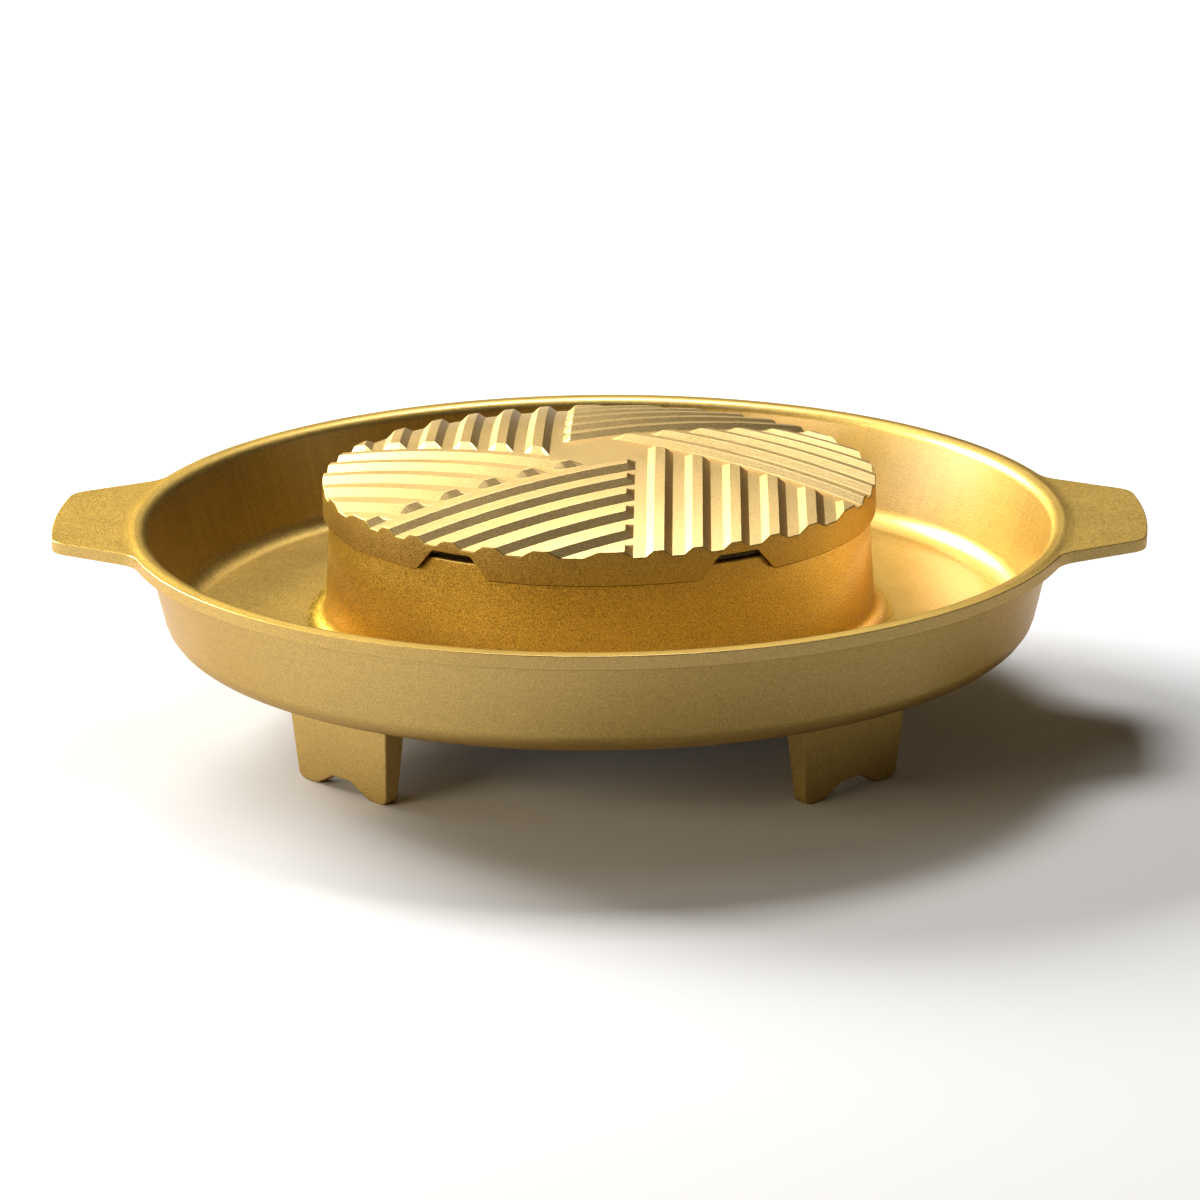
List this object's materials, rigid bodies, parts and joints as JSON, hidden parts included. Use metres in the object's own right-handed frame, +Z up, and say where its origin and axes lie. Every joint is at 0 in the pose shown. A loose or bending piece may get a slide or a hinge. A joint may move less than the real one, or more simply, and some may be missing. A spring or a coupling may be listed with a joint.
{
  "type": "hot pot grill combo",
  "caption": "Round tabletop pan with a ring-shaped trough for broth around a raised hub, flat side handles and notched feet, and a domed ribbed grill plate that lifts off the hub.",
  "frame": {"origin": "middle of the footprint, on the surface that the feet stand on", "axes": "+Z up; the handles lie along X; -Y is the front, between the two feet seen in the picture"},
  "size_m": [0.415, 0.36, 0.106],
  "materials": {
    "pan_gold_coat": "satin gold-coloured non-stick coat with a fine metallic grain",
    "grill_plate_gold_coat": "satin gold-coloured non-stick coat with a fine metallic grain"
  },
  "bodies": {
    "pan": {"pan": "pan_gold_coat"},
    "grill_plate": {"grill_plate": "grill_plate_gold_coat"}
  },
  "joints": [
    {"name": "grill_plate_lift", "type": "slide", "parent": "pan", "child": "grill_plate", "axis": [0, 0, 1], "range_m": [0, 0.12]}
  ]
}
